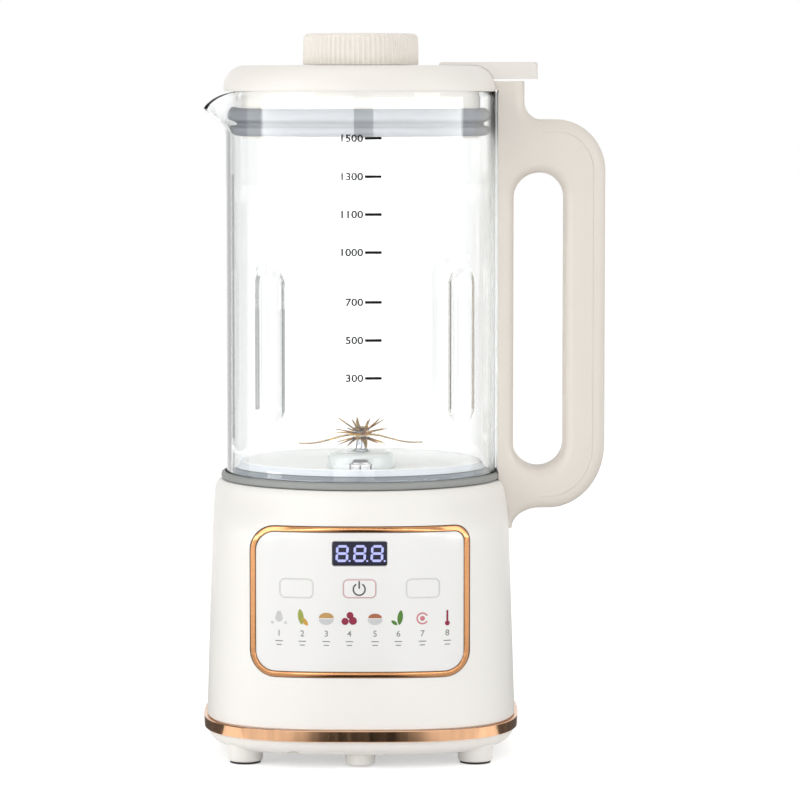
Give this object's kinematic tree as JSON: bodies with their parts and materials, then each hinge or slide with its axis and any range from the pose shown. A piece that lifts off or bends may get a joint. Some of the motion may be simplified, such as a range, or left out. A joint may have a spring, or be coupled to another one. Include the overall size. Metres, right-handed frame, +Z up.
{
  "type": "soy milk maker",
  "caption": "Heated blender jug on a motor base, with a fluted glass jug and pouring spout, closed loop handle, lid with feed cap, blade set and key panel.",
  "frame": {"origin": "Middle of the whole outline from spout tip to handle and from front to back, at the surface the feet stand on.", "axes": "+Z up, -Y is the side with the key panel, +X is the handle's side"},
  "size_m": [0.1854, 0.14, 0.3316],
  "materials": {
    "cream_plastic": "fine satin",
    "handle_plastic": "fine satin",
    "white_panel": "semi gloss",
    "rose_gold": "plated",
    "clear_glass": "clear",
    "grey_silicone": "matt",
    "black_rubber": "matt",
    "steel": "turned",
    "golden_blade": "golden coating",
    "milky_plastic": "milky",
    "aluminium": "cast",
    "motor_core": "laminated core",
    "black_plastic": "matt",
    "circuit_board": "solder mask",
    "display_window": "smoked window"
  },
  "bodies": {
    "base": {"base_housing": "cream_plastic", "band_ring": "rose_gold", "bottom_cover": "cream_plastic", "foot_pad_front_left": "black_rubber", "foot_pad_front_right": "black_rubber", "foot_pad_rear_left": "black_rubber", "foot_pad_rear_right": "black_rubber", "panel_frame": "rose_gold", "control_panel": "white_panel", "display": "display_window", "control_board": "circuit_board", "seat_well": "cream_plastic", "shaft_seal": "black_rubber", "coupler_socket": "black_plastic", "power_inlet": "black_plastic", "power_board": "circuit_board", "motor_damper": "black_rubber", "upper_bracket": "steel", "lower_bracket": "steel", "upper_bearing": "steel", "lower_bearing": "steel", "stator": "motor_core", "brush_left": "black_plastic", "brush_right": "black_plastic"},
    "menu_key": {"menu_key": "white_panel"},
    "power_key": {"power_key": "white_panel"},
    "function_key": {"function_key": "white_panel"},
    "motor_rotor": {"motor_shaft": "steel", "armature": "motor_core", "cooling_fan": "black_plastic", "drive_spline": "black_plastic"},
    "jug": {"jug_glass": "clear_glass", "jug_gasket": "grey_silicone", "jug_collar": "cream_plastic", "jug_base_plate": "black_plastic", "jug_floor": "white_panel", "heater_disc": "aluminium", "blade_seat": "milky_plastic", "blade_bush": "steel", "clamp_nut": "steel", "temperature_probe": "steel", "coupler_plug": "black_plastic", "handle_body": "handle_plastic", "handle_grip_cover": "handle_plastic", "reed_switch": "black_plastic"},
    "blade": {"blade_shaft": "steel", "long_blade": "golden_blade", "star_blade_down": "golden_blade", "star_blade_flat": "golden_blade", "star_blade_up": "golden_blade", "blade_nut": "golden_blade", "drive_socket": "black_plastic"},
    "lid": {"lid_shell": "cream_plastic", "lid_plug": "cream_plastic", "lid_seal": "grey_silicone", "lid_tongue": "cream_plastic", "lid_magnet": "steel"},
    "cap": {"feed_cap": "cream_plastic", "cap_plug": "cream_plastic", "cap_seal": "grey_silicone"}
  },
  "joints": [
    {"name": "menu_key_press", "type": "slide", "parent": "base", "child": "menu_key", "axis": [0, 1, 0], "range_m": [0, 0.0006], "stiffness_N_per_m": 800, "springref_m": -0.001},
    {"name": "power_key_press", "type": "slide", "parent": "base", "child": "power_key", "axis": [0, 1, 0], "range_m": [0, 0.0006], "stiffness_N_per_m": 800, "springref_m": -0.001},
    {"name": "function_key_press", "type": "slide", "parent": "base", "child": "function_key", "axis": [0, 1, 0], "range_m": [0, 0.0006], "stiffness_N_per_m": 800, "springref_m": -0.001},
    {"name": "motor_spin", "type": "hinge", "parent": "base", "child": "motor_rotor", "pos_m": [-0.01975, 0, 0.0205], "axis": [0, 0, 1], "continuous": true},
    {"name": "jug_lift", "type": "slide", "parent": "base", "child": "jug", "axis": [0, 0, 1], "range_m": [0, 0.06]},
    {"name": "blade_spin", "type": "hinge", "parent": "jug", "child": "blade", "pos_m": [-0.01975, 0, 0.1432], "axis": [0, 0, 1], "continuous": true},
    {"name": "lid_lift", "type": "slide", "parent": "jug", "child": "lid", "axis": [0, 0, 1], "range_m": [0, 0.06]},
    {"name": "cap_pull", "type": "slide", "parent": "lid", "child": "cap", "axis": [0, 0, 1], "range_m": [0, 0.05]}
  ],
  "couplings": [
    {"joint": "blade_spin", "follows": "motor_spin", "ratio": 1}
  ]
}
